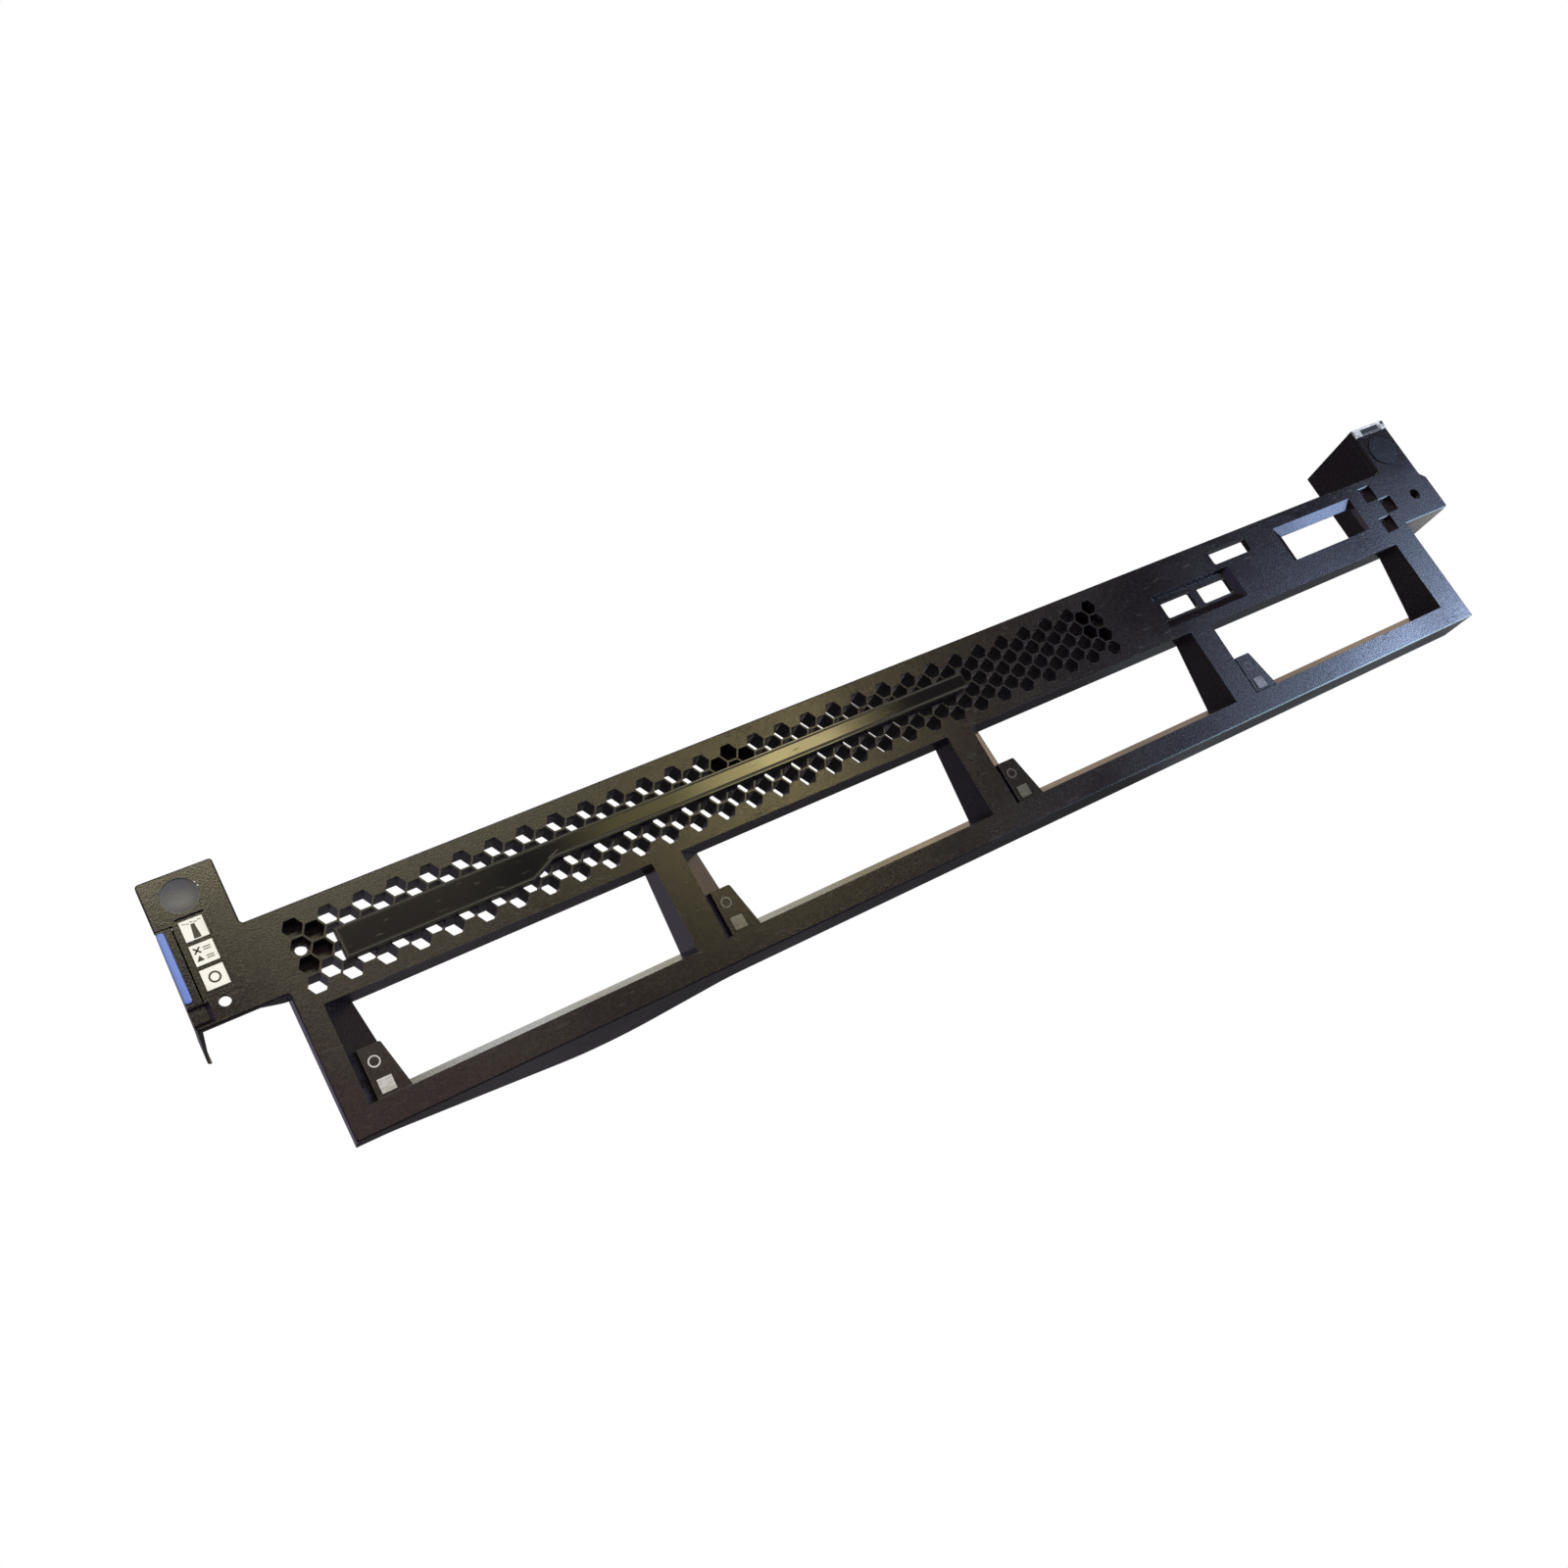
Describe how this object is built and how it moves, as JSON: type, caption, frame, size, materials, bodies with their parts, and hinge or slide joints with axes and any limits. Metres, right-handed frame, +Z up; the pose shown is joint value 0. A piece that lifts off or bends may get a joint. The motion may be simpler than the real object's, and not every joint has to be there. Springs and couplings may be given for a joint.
{
  "type": "server front bezel",
  "caption": "Dark moulded front bezel for a 2U rack server, with a honeycomb grille, four drive windows, a service panel and two ears, one with a blue-gripped latch.",
  "frame": {"origin": "middle of the width, on the underside of the lower lip, in the plane of the rim's rear edge", "axes": "+X to the right seen from the front, +Y to the back, +Z up; the front faces -Y"},
  "size_m": [0.4826, 0.0391, 0.0852],
  "materials": {
    "frame_plastic": "fine-textured dark moulded plastic",
    "housing_plastic": "fine-textured dark moulded plastic",
    "bar_plastic": "satin dark plastic",
    "disc_plastic": "grey satin plastic",
    "label_white": "matte white film",
    "latch_plastic": "fine-textured dark plastic",
    "touch_blue": "blue satin plastic",
    "pin_steel": "plain steel wire",
    "label_silver": "silvery film",
    "badge_silver": "bright foil",
    "badge_dark": "dark gloss film",
    "inlay_dark": "dark satin inlay"
  },
  "bodies": {
    "frame": {"bezel_frame": "frame_plastic", "right_ear_housing": "housing_plastic", "name_bar": "bar_plastic", "left_ear_disc": "disc_plastic", "label_tile_top": "label_white", "label_tile_middle": "label_white", "label_tile_bottom": "label_white", "latch_pin": "pin_steel", "latch_spring": "pin_steel", "drive_label_1": "label_silver", "drive_label_2": "label_silver", "drive_label_3": "label_silver", "drive_label_4": "label_silver", "ear_badge_frame": "badge_silver", "ear_badge_field": "badge_dark", "round_badge": "inlay_dark"},
    "latch": {"latch_lever": "latch_plastic", "latch_touch_strip": "touch_blue"}
  },
  "joints": [
    {"name": "latch_swing", "type": "hinge", "parent": "frame", "child": "latch", "pos_m": [-0.2382, -0.0065, 0.06015], "axis": [0, 0, 1], "range_deg": [0, 8], "stiffness_Nm_per_rad": 0.02}
  ]
}
